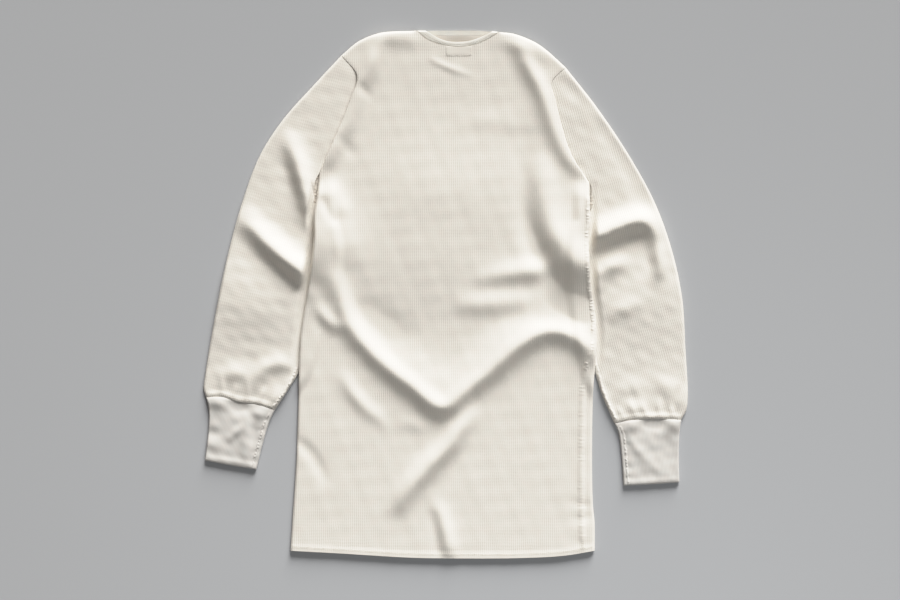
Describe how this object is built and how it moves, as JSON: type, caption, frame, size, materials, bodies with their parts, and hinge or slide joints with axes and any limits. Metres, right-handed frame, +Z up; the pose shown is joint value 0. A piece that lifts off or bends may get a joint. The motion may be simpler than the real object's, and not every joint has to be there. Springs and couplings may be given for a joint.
{
  "type": "thermal base layer top",
  "caption": "Long-sleeve waffle knit thermal base layer top with ribbed cuffs and a narrow neck band, lying flat with its back up.",
  "frame": {"origin": "middle of the bounding box on the surface that the garment lies on", "axes": "+Y from hem to neck, +X to the right seen from above with the neck away, +Z up from the surface"},
  "size_m": [0.7304, 0.7944, 0.0283],
  "materials": {
    "waffle_knit": "matte cream waffle knit cotton",
    "rib_knit": "matte fine rib knit cotton",
    "neck_binding": "matte plain knit cotton"
  },
  "bodies": {
    "root": {"body_back": "waffle_knit", "body_front": "waffle_knit", "sleeve_left": "waffle_knit", "sleeve_right": "waffle_knit", "cuff_left": "rib_knit", "cuff_right": "rib_knit", "neck_band": "neck_binding"}
  },
  "joints": []
}
